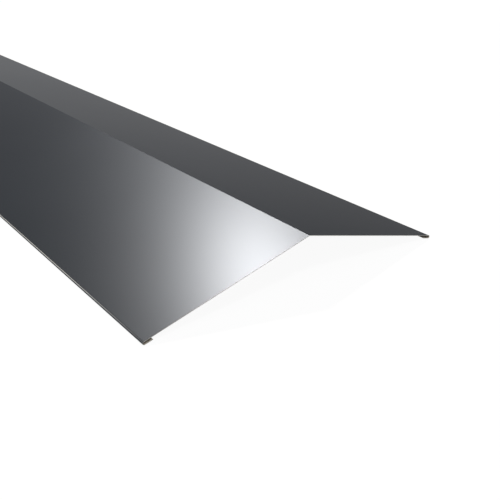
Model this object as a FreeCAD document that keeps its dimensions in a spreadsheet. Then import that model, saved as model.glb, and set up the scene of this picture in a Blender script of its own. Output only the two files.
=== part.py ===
import FreeCAD, Part
import math
import os
import Sketcher
from enum import IntEnum

# A flat roof ridge cap: one strip of coated sheet steel, bent once along its middle over the ridge.
# Both long edges are folded back under the wings as open hems, which stiffen them and lie on the roof.
# X runs across the ridge, Y along it and Z up. The origin is under the middle of the cap, on the
# level that the two hems rest on. All sizes are in millimetres and degrees.

NODE = "ridge_cap"

DRIVING_SIZES = {
    "stock_length": (2000.0, "length that the cap is sold in"),
    "wing_width": (190.0, "from the sharp ridge line to the outside of the folded edge, along the wing"),
    "apex_angle": (150.0, "angle between the two wings"),
    "gauge": (0.5, "thickness of the sheet"),
    "ridge_radius": (1.0, "inside radius of the bend along the ridge"),
    "hem_width": (10.0, "from the outside of the fold to the free edge under the wing"),
    "hem_opening": (2.5, "clear gap between the wing and the part folded under it"),
}

# What follows from the driving sizes, in the form that the section's dimensions are bound to.
SLOPE = "(180 - sizes.apex_angle) / 2"
RIDGE_OUTER = "(sizes.ridge_radius + sizes.gauge)"
HEM_INNER = "(sizes.hem_opening / 2)"
HEM_OUTER = "(sizes.hem_opening / 2 + sizes.gauge)"
WING_FLAT = f"sizes.wing_width - {RIDGE_OUTER} * tan({SLOPE}) - {HEM_OUTER}"
HEM_FLAT = f"sizes.hem_width - {HEM_OUTER}"

STEEL_DENSITY = 7.85e-6
VOLUME_TOLERANCE = 1e-4


class At(IntEnum):
    """The points of a sketch's line or arc, by the numbers that constraints know them by."""

    START = 1
    END = 2
    CENTRE = 3


class Axis(IntEnum):
    """The sketch's own axes, by the numbers that constraints know them by."""

    HORIZONTAL = -1
    VERTICAL = -2


def driving_sheet(doc):
    """The spreadsheet that holds each driving size once, under its own name."""
    sheet = doc.addObject("Spreadsheet::Sheet", "sizes")
    for row, (name, (value, meaning)) in enumerate(DRIVING_SIZES.items(), start=1):
        sheet.set(f"A{row}", meaning)
        sheet.set(f"B{row}", str(value))
        sheet.setAlias(f"B{row}", name)
    doc.recompute()
    return sheet


def origin_plane(body, role):
    """One of the body's own origin planes."""
    return next(feature for feature in body.Origin.OriginFeatures if feature.Role == role)


class HalfSection:
    """Where the right half of the folded sheet's section lies, which is where its sketch starts from."""

    def __init__(self, sizes):
        self.slope = math.radians((180.0 - sizes.apex_angle) / 2)
        self.along = FreeCAD.Vector(math.cos(self.slope), -math.sin(self.slope), 0)
        self.above = FreeCAD.Vector(math.sin(self.slope), math.cos(self.slope), 0)

        self.ridge_inner = sizes.ridge_radius
        self.ridge_outer = sizes.ridge_radius + sizes.gauge
        self.hem_inner = sizes.hem_opening / 2
        self.hem_outer = self.hem_inner + sizes.gauge

        ridge_tangent = self.ridge_outer * math.tan(self.slope)
        self.wing_flat = sizes.wing_width - ridge_tangent - self.hem_outer
        self.hem_flat = sizes.hem_width - self.hem_outer

        # The hem's fold touches the ground level, so its centre is one outer radius above it.
        reach = self.wing_flat * self.along + (self.ridge_outer - self.hem_outer) * self.above
        self.ridge_centre = FreeCAD.Vector(0, self.hem_outer - reach.y, 0)
        self.hem_centre = self.ridge_centre + reach

    def on_wing(self, centre, radius):
        """The point of a bend where the flat of the wing meets it."""
        return centre + radius * self.above

    def on_hem(self, radius, distance):
        """A point on a face of the part folded under, this far inwards from the fold's centre."""
        return self.hem_centre - radius * self.above - distance * self.along

    def ridge_arc(self, radius):
        circle = Part.Circle(self.ridge_centre, FreeCAD.Vector(0, 0, 1), radius)
        return Part.ArcOfCircle(circle, math.pi / 2 - self.slope, math.pi / 2)

    def hem_arc(self, radius):
        circle = Part.Circle(self.hem_centre, FreeCAD.Vector(0, 0, 1), radius)
        return Part.ArcOfCircle(circle, -math.pi / 2 - self.slope, math.pi / 2 - self.slope)


def section_sketch(doc, body, sizes):
    """The closed outline of half the section, from the ridge to the free edge of the hem and back."""
    sketch = body.newObject("Sketcher::SketchObject", "half_section")
    sketch.AttachmentSupport = [(origin_plane(body, "XZ_Plane"), "")]
    sketch.MapMode = "FlatFace"
    half = HalfSection(sizes)

    def line(start, end):
        return sketch.addGeometry(Part.LineSegment(start, end), False)

    ridge_over = sketch.addGeometry(half.ridge_arc(half.ridge_outer), False)
    wing_over = line(
        half.on_wing(half.hem_centre, half.hem_outer), half.on_wing(half.ridge_centre, half.ridge_outer)
    )
    fold_outside = sketch.addGeometry(half.hem_arc(half.hem_outer), False)
    hem_under = line(half.on_hem(half.hem_outer, 0), half.on_hem(half.hem_outer, half.hem_flat))
    free_edge = line(
        half.on_hem(half.hem_outer, half.hem_flat), half.on_hem(half.hem_inner, half.hem_flat)
    )
    hem_over = line(half.on_hem(half.hem_inner, half.hem_flat), half.on_hem(half.hem_inner, 0))
    fold_inside = sketch.addGeometry(half.hem_arc(half.hem_inner), False)
    wing_under = line(
        half.on_wing(half.hem_centre, half.hem_inner), half.on_wing(half.ridge_centre, half.ridge_inner)
    )
    ridge_under = sketch.addGeometry(half.ridge_arc(half.ridge_inner), False)
    ridge_plane = line(
        half.ridge_centre + FreeCAD.Vector(0, half.ridge_inner, 0),
        half.ridge_centre + FreeCAD.Vector(0, half.ridge_outer, 0),
    )

    def tie(kind, *places):
        return sketch.addConstraint(Sketcher.Constraint(kind, *places))

    def dimension(name, kind, places, value, expression):
        index = sketch.addConstraint(Sketcher.Constraint(kind, *places, value))
        sketch.renameConstraint(index, name)
        sketch.setExpression(f"Constraints.{name}", expression)

    # The sheet runs on without a crease from each bend into the flat beside it, on both its faces.
    tie("Tangent", ridge_over, At.START, wing_over, At.END)
    tie("Tangent", wing_over, At.START, fold_outside, At.END)
    tie("Tangent", fold_outside, At.START, hem_under, At.START)
    tie("Tangent", hem_over, At.END, fold_inside, At.START)
    tie("Tangent", fold_inside, At.END, wing_under, At.START)
    tie("Tangent", wing_under, At.END, ridge_under, At.START)

    # The free edge is cut square, and the half section closes on the ridge's own upright plane.
    tie("Coincident", hem_under, At.END, free_edge, At.START)
    tie("Coincident", free_edge, At.END, hem_over, At.START)
    tie("Perpendicular", hem_under, free_edge)
    tie("Coincident", ridge_under, At.END, ridge_plane, At.START)
    tie("Coincident", ridge_plane, At.END, ridge_over, At.END)
    tie("Vertical", ridge_plane)
    tie("PointOnObject", ridge_plane, At.START, Axis.VERTICAL)
    tie("PointOnObject", ridge_over, At.CENTRE, Axis.VERTICAL)

    # Both faces of a bend share its centre, and the hem lies parallel to the wing above it.
    tie("Coincident", ridge_under, At.CENTRE, ridge_over, At.CENTRE)
    tie("Coincident", fold_inside, At.CENTRE, fold_outside, At.CENTRE)
    tie("Parallel", hem_under, wing_over)
    tie("Parallel", hem_over, wing_over)

    dimension("ridge_inside", "Radius", (ridge_under,), half.ridge_inner, "sizes.ridge_radius")
    dimension("ridge_outside", "Radius", (ridge_over,), half.ridge_outer, RIDGE_OUTER)
    dimension("fold_inside", "Radius", (fold_inside,), half.hem_inner, HEM_INNER)
    dimension("fold_outside", "Radius", (fold_outside,), half.hem_outer, HEM_OUTER)
    plane_to_wing = (ridge_plane, At.END, wing_over, At.END)
    ground_to_hem = (Axis.HORIZONTAL, At.START, fold_outside, At.CENTRE)
    dimension("half_apex", "Angle", plane_to_wing, math.pi / 2 - half.slope, "sizes.apex_angle / 2")
    dimension("wing_flat", "Distance", (wing_over,), half.wing_flat, WING_FLAT)
    dimension("hem_flat", "Distance", (hem_under,), half.hem_flat, HEM_FLAT)
    dimension("ground", "DistanceY", ground_to_hem, half.hem_outer, HEM_OUTER)
    doc.recompute()
    return sketch


def ridge_cap(doc, sizes):
    """The whole cap: the half section run along the ridge, and mirrored across it."""
    body = doc.addObject("PartDesign::Body", NODE)
    body.Label = NODE
    sketch = section_sketch(doc, body, sizes)

    half = body.newObject("PartDesign::Pad", "half_cap")
    half.Profile = sketch
    half.SideType = "Symmetric"
    half.setExpression("Length", "sizes.stock_length")
    sketch.Visibility = False
    doc.recompute()

    whole = body.newObject("PartDesign::Mirrored", "whole_cap")
    whole.Originals = [half]
    whole.MirrorPlane = (origin_plane(body, "YZ_Plane"), [""])
    whole.Refine = True
    body.Tip = whole
    body.Placement = FreeCAD.Placement()
    doc.recompute()
    return body


def strip_width(sizes):
    """Width of the flat strip that the cap is folded from, measured halfway through the sheet."""
    half = HalfSection(sizes)
    ridge_bend = half.slope * (half.ridge_inner + sizes.gauge / 2)
    hem_bend = math.pi * (half.hem_inner + sizes.gauge / 2)
    return 2 * (ridge_bend + half.wing_flat + hem_bend + half.hem_flat)


def check(doc, body, sizes):
    """Stops if a feature failed, or if the folded cap doesn't hold the metal of its flat strip."""
    failed = [item.Name for item in doc.Objects if {"Invalid", "Error"} & set(item.State)]
    if failed:
        raise RuntimeError(f"these features failed: {failed}")
    shape = body.Shape
    if shape.isNull() or not shape.isValid() or len(shape.Solids) != 1:
        raise RuntimeError("the cap isn't one valid solid")
    strip = strip_width(sizes) * sizes.gauge * sizes.stock_length
    if abs(shape.Volume - strip) > VOLUME_TOLERANCE * strip:
        raise RuntimeError(f"the cap holds {shape.Volume:.0f} mm3, and its strip {strip:.0f} mm3")


def report(body, sizes):
    shape = body.Shape
    box = shape.BoundBox
    print(f"strip width {strip_width(sizes):.2f} mm, mass {shape.Volume * STEEL_DENSITY:.3f} kg")
    print(f"overall {box.XLength:.2f} x {box.YLength:.2f} x {box.ZLength:.2f} mm, {len(shape.Faces)} faces")
    print(f"lowest {box.ZMin:.4f} mm, left {box.XMin:.3f} mm, right {box.XMax:.3f} mm")


def main():
    doc = FreeCAD.newDocument("ridge_cap_model")
    sizes = driving_sheet(doc)
    body = ridge_cap(doc, sizes)
    check(doc, body, sizes)
    os.makedirs("parts", exist_ok=True)
    body.Shape.exportStep(f"parts/{body.Label}.step")
    report(body, sizes)


main()
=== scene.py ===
import math
from collections import namedtuple

import bpy
from mathutils import Matrix, Vector


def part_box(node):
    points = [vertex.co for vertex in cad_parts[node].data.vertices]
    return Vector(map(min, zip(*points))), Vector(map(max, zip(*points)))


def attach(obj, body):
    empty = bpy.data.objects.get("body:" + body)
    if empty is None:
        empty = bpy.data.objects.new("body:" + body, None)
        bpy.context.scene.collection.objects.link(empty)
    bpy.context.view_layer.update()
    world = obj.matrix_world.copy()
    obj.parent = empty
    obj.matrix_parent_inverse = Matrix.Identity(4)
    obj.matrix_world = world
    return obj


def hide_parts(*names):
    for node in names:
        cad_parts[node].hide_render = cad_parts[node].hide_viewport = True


# A flat roof ridge cap of steel sheet with a dark grey coat on its front, folded along the ridge and
# hemmed along both long edges. X runs across the ridge, Y along it and Z up. Lengths are in metres.

NODE = "ridge_cap"

# The sheet and its folds. The cap's own length and width come from the frame.
GAUGE = 0.0005
SLOPE = math.radians(15)
RIDGE_RADIUS = 0.001
HEM_WIDTH = 0.010
HEM_OPENING = 0.0025
HEM_INNER = HEM_OPENING / 2
HEM_OUTER = HEM_INNER + GAUGE
RIDGE_OUTER = RIDGE_RADIUS + GAUGE

# How finely the folded sheet is divided.
RIDGE_STEPS = 12
HEM_STEPS = 36
WING_STEPS = 16
RETURN_STEPS = 2
ROWS = 40

# The sheet's materials, by their places on its mesh.
FRONT, BACK, CUT = range(3)

# A painted highlight: the coat turns to zinc colour in a stripe along the shoulder of each hem's fold,
# between these turns from where the wing ends. Within a reach of the cap's ends the stripe is fainter, down
# to this share.
PAINTED_HIGHLIGHT_FROM = math.radians(19)
PAINTED_HIGHLIGHT_TO = math.radians(43)
PAINTED_HIGHLIGHT_LEAST = 0.2
PAINTED_HIGHLIGHT_REACH = 0.15

# Colours are linear. Noise scales are per metre. A grain is a noise scale and a depth in metres.
GRAPHITE = (0.0375, 0.0435, 0.0522)
PRIMER = (0.40, 0.355, 0.295)
STEEL = (0.42, 0.40, 0.355)
ZINC = (0.62, 0.61, 0.58)

# The front's coat is a satin paint with fine metal flakes, whose shine grows little towards grazing angles.
# Soft clouds change its colour and roughness a little, and its grain shows in the painted highlight.
COAT_METALLIC = 0.7
COAT_ROUGHNESS = 0.33
COAT_EDGE = (0.481, 0.474, 0.471)
CLOUD_SCALE = 3.0
CLOUD_SHADES = (0.96, 1.04)
CLOUD_ROUGHNESS = 0.008
COAT_GRAIN = (900.0, 0.000004)
PAINTED_HIGHLIGHT_SHARES = (0.75, 1.0)
PAINTED_HIGHLIGHT_ROUGHNESS = 0.5

# The back's primer is matt, with streaks along the strip.
PRIMER_ROUGHNESS = (0.62, 0.70)
PRIMER_GLOSS = 0.2
PRIMER_GRAIN = (1500.0, 0.000006)
STREAK_STRETCH = (60.0, 1.5, 60.0)
STREAK_SCALE = 6.0
STREAK_SHADES = (0.92, 1.05)

# The cut edge's layers, from these parts of the way through the sheet on, and how ragged they are. The
# shears left darker mottles in them.
EDGE_LAYERS = ((0.0, GRAPHITE), (0.07, ZINC), (0.14, STEEL), (0.88, ZINC), (0.95, PRIMER))
EDGE_ROUGHNESS = 0.5
EDGE_GRAIN = (3000.0, 0.00001)
RAGGED_SCALE = 2500.0
RAGGED = 0.03
MOTTLE_SCALE = 400.0
MOTTLE_SHARES = (0.0, 0.25)
MOTTLE_SHADE = 0.6

# The camera stands off the near left corner: turned from +Y towards +X, tilted down, and rolled a little.
CAMERA_PLACE = (-0.410604, -1.440152, 0.3229)
CAMERA_TURN = math.radians(37.638)
CAMERA_TILT = math.radians(25.579)
CAMERA_ROLL = math.radians(0.603)
CAMERA_LENS = 50
CAMERA_SENSOR = 36

# The key light stands behind the cap, a little to the right, halfway up the sky. The fill light stands
# higher, behind the camera. Each is a turn from +Y towards +X, a height above the horizon, a strength,
# a width and a colour.
KEY = (math.radians(19.3), math.radians(44.3), 3.02, math.radians(4), (1.14, 1.0, 0.86))
FILL = (math.radians(222), math.radians(56), 1.15, math.radians(6), (1.0, 1.0, 1.0))

# The studio's backdrop runs all round, this bright at these heights above the horizon, in degrees. It
# darkens to a share of that at both sides, between these parts of the way there. Over the cap and in
# front of it a paler ceiling takes over, and fades between these parts of the way back.
BACKDROP = ((0, 1.0), (6, 1.05), (22, 1.15), (28, 0.75), (36, 0.10), (45, 0.0))
SIDES = 0.55
SIDES_FADE = (0.62, 0.84)
CEILING = 0.55
CEILING_FADE = (-0.05, 0.35)
STUDIO_COLOUR = (0.975, 1.0, 1.024)

FLOOR_RADIUS = 14.0
FLOOR_CORNERS = 96
FLOOR_PAINT = 0.06
FLOOR_GLOW = 0.94
VIEW_DEPTH = 4 * FLOOR_RADIUS

# Nearly all of a noise's values lie between these.
NOISE_RANGE = (0.3, 0.7)

# The colour mix node's sockets by number, since its names repeat: the share and both colours, the result.
MIX_INPUTS = (0, 6, 7)
MIX_RESULT = 2


# A stop on the walk along the sheet's section: its place, the direction that the front faces there, the
# direction of the walk, and how strong the painted highlight is there.
Station = namedtuple("Station", "place front along rubbed")


class FoldedSheet:
    """The strip's section, walked halfway through the sheet from its left free edge to its right one."""

    def __init__(self, heading):
        self.heading = heading
        self.place = Vector((0.0, 0.0))
        self.stations = []
        self.stop(0.0)

    def direction(self):
        return Vector((math.cos(self.heading), math.sin(self.heading)))

    def stop(self, rubbed):
        along = self.direction()
        front = Vector((-along.y, along.x))
        self.stations.append(Station(self.place.copy(), front, along, rubbed))

    def run(self, length, steps):
        for _ in range(steps):
            self.place += self.direction() * length / steps
            self.stop(0.0)

    def bend(self, angle, inside_radius, steps, rubbed=lambda turned: 0.0):
        """A bend with the front on its outside. The last argument gives the painted highlight after each
        part of the turn.
        """
        turn = angle / steps
        chord = 2 * (inside_radius + GAUGE / 2) * math.sin(turn / 2)
        for step in range(1, steps + 1):
            self.heading -= turn / 2
            self.place += self.direction() * chord
            self.heading -= turn / 2
            self.stop(rubbed(step * turn))


def wing_flat(half_width):
    """How wide the flat of a wing is, between its bend at the ridge and its fold."""
    reach = half_width - HEM_OUTER - (RIDGE_OUTER - HEM_OUTER) * math.sin(SLOPE)
    return reach / math.cos(SLOPE)


def cap_section(half_width):
    """The stations of the whole section, centred over the ridge's line with its lowest face at zero."""
    wing = wing_flat(half_width)
    hem_flat = HEM_WIDTH - HEM_OUTER

    # The walk turns off the right wing at the start of its fold, and onto the left one at the end of its.
    # The painted highlight lies on the shoulder of each fold.
    def painted_highlight_first(turned):
        return 1.0 if PAINTED_HIGHLIGHT_FROM < turned < PAINTED_HIGHLIGHT_TO else 0.0

    def painted_highlight_last(turned):
        return painted_highlight_first(math.pi - turned)

    sheet = FoldedSheet(math.pi + SLOPE)
    sheet.run(hem_flat, RETURN_STEPS)
    sheet.bend(math.pi, HEM_INNER, HEM_STEPS, painted_highlight_last)
    sheet.run(wing, WING_STEPS)
    sheet.bend(2 * SLOPE, RIDGE_RADIUS, RIDGE_STEPS)
    sheet.run(wing, WING_STEPS)
    sheet.bend(math.pi, HEM_INNER, HEM_STEPS, painted_highlight_first)
    sheet.run(hem_flat, RETURN_STEPS)

    middle = (sheet.stations[0].place.x + sheet.stations[-1].place.x) / 2
    lowest = min(station.place.y + station.front.y * GAUGE / 2 for station in sheet.stations)
    shift = Vector((-middle, -lowest))
    return [station._replace(place=station.place + shift) for station in sheet.stations]


def sheet_points(section, low, high):
    """The mesh's points, row by row along the ridge, with the painted highlight's strength and how deep in
    the sheet each is.
    """
    points = []
    rubbed = []
    depth = []
    for row in range(ROWS + 1):
        y = low.y + (high.y - low.y) * row / ROWS
        # The painted highlight grows fainter within a reach of the cap's ends.
        inwards = min(y - low.y, high.y - y) / PAINTED_HIGHLIGHT_REACH
        share = PAINTED_HIGHLIGHT_LEAST + (1 - PAINTED_HIGHLIGHT_LEAST) * min(inwards, 1.0)
        for station in section:
            for side in (1, -1):
                point = station.place + station.front * side * GAUGE / 2
                points.append((point.x, y, point.y))
                rubbed.append(station.rubbed * share if side > 0 else 0.0)
                depth.append(0.0 if side > 0 else 1.0)
    return points, rubbed, depth


def sheet_faces(section):
    """The mesh's faces, with the normal at each of their corners and the material of each."""
    count = len(section)
    last = count - 1
    across = Vector((0, 1, 0))
    faces = []
    normals = []
    slots = []

    def on_front(station, row):
        return 2 * (row * count + station)

    def on_back(station, row):
        return on_front(station, row) + 1

    def upright(flat):
        return Vector((flat.x, 0, flat.y))

    def face(slot, corners, directions):
        faces.append(corners)
        normals.extend(directions)
        slots.append(slot)

    for station in range(last):
        beside = station + 1
        here = upright(section[station].front)
        there = upright(section[beside].front)
        for row in range(ROWS):
            over = [on_front(station, row), on_front(beside, row), on_front(beside, row + 1),
                    on_front(station, row + 1)]
            under = [on_back(station, row + 1), on_back(beside, row + 1), on_back(beside, row),
                     on_back(station, row)]
            face(FRONT, over, [here, there, there, here])
            face(BACK, under, [-here, -there, -there, -here])
        near = [on_front(station, 0), on_back(station, 0), on_back(beside, 0), on_front(beside, 0)]
        far = [on_front(beside, ROWS), on_back(beside, ROWS), on_back(station, ROWS),
               on_front(station, ROWS)]
        face(CUT, near, [-across] * 4)
        face(CUT, far, [across] * 4)
    for row in range(ROWS):
        left = [on_front(0, row), on_front(0, row + 1), on_back(0, row + 1), on_back(0, row)]
        right = [on_back(last, row), on_back(last, row + 1), on_front(last, row + 1),
                 on_front(last, row)]
        face(CUT, left, [-upright(section[0].along)] * 4)
        face(CUT, right, [upright(section[last].along)] * 4)
    return faces, normals, slots


def folded_sheet(low, high, materials):
    """The cap as one mesh: front, back, and the cut edges along both sides and across both ends."""
    section = cap_section(high.x)
    points, rubbed, depth = sheet_points(section, low, high)
    faces, normals, slots = sheet_faces(section)
    mesh = bpy.data.meshes.new("folded_sheet")
    mesh.from_pydata(points, [], faces)
    for material in materials:
        mesh.materials.append(material)
    mesh.polygons.foreach_set("material_index", slots)
    mesh.shade_smooth()
    mesh.normals_split_custom_set(normals)
    for name, values in (("rubbed", rubbed), ("depth", depth)):
        mesh.attributes.new(name, "FLOAT", "POINT").data.foreach_set("value", values)
    mesh.validate()
    piece = bpy.data.objects.new("folded_sheet", mesh)
    bpy.context.scene.collection.objects.link(piece)
    return piece


def scaled(colour, factor):
    return tuple(part * factor for part in colour)


class Shader:
    """A node tree with short ways to add nodes and to join them."""

    def __init__(self, tree):
        self.tree = tree
        tree.nodes.clear()

    def add(self, kind, **settings):
        node = self.tree.nodes.new(kind)
        for name, value in settings.items():
            setattr(node, name, value)
        return node

    def join(self, source, target):
        self.tree.links.new(source, target)

    def noise(self, coordinates, scale, detail=2.0):
        node = self.add("ShaderNodeTexNoise")
        node.inputs["Scale"].default_value = scale
        node.inputs["Detail"].default_value = detail
        self.join(coordinates, node.inputs["Vector"])
        return node.outputs["Fac"]

    def spread(self, value, low, high, source=NOISE_RANGE):
        """Maps a value in the source's range onto low to high."""
        node = self.add("ShaderNodeMapRange")
        for name, number in zip(("From Min", "From Max", "To Min", "To Max"), (*source, low, high)):
            node.inputs[name].default_value = number
        self.join(value, node.inputs["Value"])
        return node.outputs["Result"]

    def math(self, operation, first, second):
        node = self.add("ShaderNodeMath", operation=operation)
        for socket, value in zip(node.inputs, (first, second)):
            if isinstance(value, float):
                socket.default_value = value
            else:
                self.join(value, socket)
        return node.outputs["Value"]

    def mix(self, share, first, second):
        node = self.add("ShaderNodeMix", data_type="RGBA")
        for number, value in zip(MIX_INPUTS, (share, first, second)):
            socket = node.inputs[number]
            if isinstance(value, tuple):
                socket.default_value = (*value, 1.0)
            else:
                self.join(value, socket)
        return node.outputs[MIX_RESULT]

    def ramp(self, value, stops, interpolation="LINEAR"):
        """The colours of these stops, each from its own place on the way. The first place is zero."""
        node = self.add("ShaderNodeValToRGB")
        self.join(value, node.inputs["Fac"])
        node.color_ramp.interpolation = interpolation
        elements = node.color_ramp.elements
        elements.remove(elements[1])
        for place, colour in stops:
            element = elements.new(place) if place else elements[0]
            element.color = (*colour, 1.0)
        return node.outputs["Color"]

    def bump(self, height, depth):
        node = self.add("ShaderNodeBump")
        node.inputs["Distance"].default_value = depth
        self.join(height, node.inputs["Height"])
        return node.outputs["Normal"]

    def grain(self, coordinates, scale, depth):
        return self.bump(self.noise(coordinates, scale), depth)

    def shades(self, noise, colour, factors):
        """The colour, made darker and lighter by these factors as the noise goes."""
        darker, lighter = (scaled(colour, factor) for factor in factors)
        return self.mix(self.spread(noise, 0.0, 1.0), darker, lighter)

    def attribute(self, name):
        return self.add("ShaderNodeAttribute", attribute_name=name).outputs["Fac"]

    def place(self):
        return self.add("ShaderNodeTexCoord").outputs["Object"]


def surface(name):
    """A new material with its Principled shader."""
    material = bpy.data.materials.new(name)
    material.use_nodes = True
    shader = Shader(material.node_tree)
    output = shader.add("ShaderNodeOutputMaterial")
    principled = shader.add("ShaderNodeBsdfPrincipled")
    shader.join(principled.outputs["BSDF"], output.inputs["Surface"])
    return material, shader, principled.inputs


def graphite_coat():
    """The satin dark grey coat of the front, with a painted highlight of zinc colour along the shoulders of
    the hems.
    """
    material, shader, inputs = surface("graphite_coat")
    place = shader.place()
    clouds = shader.noise(place, CLOUD_SCALE)
    colour = shader.shades(clouds, GRAPHITE, CLOUD_SHADES)
    grain_scale, grain_depth = COAT_GRAIN
    grain = shader.noise(place, grain_scale, 1.0)
    # The painted highlight: zinc colour mixed into the coat along the hems' shoulders, broken by the grain,
    # and rougher there.
    rubbed = shader.math("MULTIPLY", shader.attribute("rubbed"), shader.spread(grain, *PAINTED_HIGHLIGHT_SHARES))
    shader.join(shader.mix(rubbed, colour, ZINC), inputs["Base Color"])
    rough = shader.spread(clouds, COAT_ROUGHNESS - CLOUD_ROUGHNESS, COAT_ROUGHNESS + CLOUD_ROUGHNESS)
    painted_highlight_rough = shader.math("MULTIPLY", rubbed, PAINTED_HIGHLIGHT_ROUGHNESS)
    shader.join(shader.math("MAXIMUM", rough, painted_highlight_rough), inputs["Roughness"])
    inputs["Metallic"].default_value = COAT_METALLIC
    inputs["Specular IOR Level"].default_value = 0.0
    inputs["Specular Tint"].default_value = (*COAT_EDGE, 1.0)
    shader.join(shader.bump(grain, grain_depth), inputs["Normal"])
    return material


def back_coat():
    """The thin matt beige-grey primer of the back, with the roller's faint streaks along the strip."""
    material, shader, inputs = surface("back_coat")
    place = shader.place()
    stretch = shader.add("ShaderNodeMapping")
    stretch.inputs["Scale"].default_value = STREAK_STRETCH
    shader.join(place, stretch.inputs["Vector"])
    streaks = shader.noise(stretch.outputs["Vector"], STREAK_SCALE)
    shader.join(shader.shades(streaks, PRIMER, STREAK_SHADES), inputs["Base Color"])
    shader.join(shader.spread(streaks, *PRIMER_ROUGHNESS), inputs["Roughness"])
    inputs["Specular IOR Level"].default_value = PRIMER_GLOSS
    shader.join(shader.grain(place, *PRIMER_GRAIN), inputs["Normal"])
    return material


def cut_edge():
    """The sheared edge: steel between two thin skins of zinc, with the coat's edge on the front."""
    material, shader, inputs = surface("cut_edge")
    place = shader.place()
    ragged = shader.spread(shader.noise(place, RAGGED_SCALE), -RAGGED, RAGGED)
    depth = shader.math("ADD", shader.attribute("depth"), ragged)
    layers = shader.ramp(depth, EDGE_LAYERS, "CONSTANT")
    mottle = shader.spread(shader.noise(place, MOTTLE_SCALE), *MOTTLE_SHARES)
    shader.join(shader.mix(mottle, layers, scaled(STEEL, MOTTLE_SHADE)), inputs["Base Color"])
    inputs["Roughness"].default_value = EDGE_ROUGHNESS
    shader.join(shader.grain(place, *EDGE_GRAIN), inputs["Normal"])
    return material


def floor():
    """A wide white floor. Its glow makes it white where it is seen, and its paint takes the shadow."""
    material = bpy.data.materials.new("floor")
    material.use_nodes = True
    shader = Shader(material.node_tree)
    path = shader.add("ShaderNodeLightPath")
    seen = shader.math("MAXIMUM", path.outputs["Is Camera Ray"], path.outputs["Is Glossy Ray"])
    seen = shader.math("MAXIMUM", seen, path.outputs["Is Transmission Ray"])
    glow = shader.add("ShaderNodeEmission")
    shader.join(shader.math("MULTIPLY", seen, FLOOR_GLOW), glow.inputs["Strength"])
    paint = shader.add("ShaderNodeBsdfDiffuse")
    paint.inputs["Color"].default_value = (FLOOR_PAINT, FLOOR_PAINT, FLOOR_PAINT, 1.0)
    both = shader.add("ShaderNodeAddShader")
    output = shader.add("ShaderNodeOutputMaterial")
    shader.join(glow.outputs["Emission"], both.inputs[0])
    shader.join(paint.outputs["BSDF"], both.inputs[1])
    shader.join(both.outputs["Shader"], output.inputs["Surface"])

    bpy.ops.mesh.primitive_circle_add(vertices=FLOOR_CORNERS, radius=FLOOR_RADIUS, fill_type="NGON")
    ground = bpy.context.object
    ground.name = "floor"
    ground.data.materials.append(material)


def studio():
    """A white backdrop, grey at both sides, under a ceiling that is dark behind the cap, grey elsewhere."""
    world = bpy.data.worlds.new("studio")
    bpy.context.scene.world = world
    world.use_nodes = True
    shader = Shader(world.node_tree)
    direction = shader.add("ShaderNodeSeparateXYZ")
    shader.join(shader.add("ShaderNodeTexCoord").outputs["Generated"], direction.inputs["Vector"])
    stops = [(math.sin(math.radians(height)), (level, level, level)) for height, level in BACKDROP]
    backdrop = shader.ramp(direction.outputs["Z"], stops)
    sideways = shader.math("ABSOLUTE", direction.outputs["X"], 0.0)
    sides = shader.spread(sideways, 1.0, SIDES, SIDES_FADE)
    walls = shader.math("MULTIPLY", backdrop, sides)
    ceiling = shader.spread(direction.outputs["Y"], CEILING, 0.0, CEILING_FADE)
    background = shader.add("ShaderNodeBackground")
    background.inputs["Color"].default_value = (*STUDIO_COLOUR, 1.0)
    output = shader.add("ShaderNodeOutputWorld")
    shader.join(shader.math("MAXIMUM", walls, ceiling), background.inputs["Strength"])
    shader.join(background.outputs["Background"], output.inputs["Surface"])


def sun(name, turn, height, strength, width, colour):
    data = bpy.data.lights.new(name, "SUN")
    data.color = colour
    data.energy = strength
    data.angle = width
    lamp = bpy.data.objects.new(name, data)
    level = math.cos(height)
    towards = Vector((math.sin(turn) * level, math.cos(turn) * level, math.sin(height)))
    lamp.rotation_mode = "QUATERNION"
    lamp.rotation_quaternion = (-towards).to_track_quat("-Z", "Y")
    bpy.context.scene.collection.objects.link(lamp)


def camera():
    data = bpy.data.cameras.new("camera")
    data.lens = CAMERA_LENS
    data.sensor_width = CAMERA_SENSOR
    data.clip_end = VIEW_DEPTH
    eye = bpy.data.objects.new("camera", data)
    eye.matrix_world = (
        Matrix.Translation(CAMERA_PLACE)
        @ Matrix.Rotation(-CAMERA_TURN, 4, "Z")
        @ Matrix.Rotation(math.pi / 2 - CAMERA_TILT, 4, "X")
        @ Matrix.Rotation(CAMERA_ROLL, 4, "Z")
    )
    bpy.context.scene.collection.objects.link(eye)
    bpy.context.scene.camera = eye


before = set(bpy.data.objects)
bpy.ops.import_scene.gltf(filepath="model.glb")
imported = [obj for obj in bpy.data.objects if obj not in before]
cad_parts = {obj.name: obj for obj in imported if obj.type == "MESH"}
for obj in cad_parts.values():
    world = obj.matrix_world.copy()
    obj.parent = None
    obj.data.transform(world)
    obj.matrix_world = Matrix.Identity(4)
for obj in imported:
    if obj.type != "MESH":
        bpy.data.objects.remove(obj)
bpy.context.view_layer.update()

cap = folded_sheet(*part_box(NODE), (graphite_coat(), back_coat(), cut_edge()))
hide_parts(NODE)
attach(cap, "root")

floor()
studio()
sun("key", *KEY)
sun("fill", *FILL)
camera()
bpy.context.scene.view_settings.view_transform = "Standard"
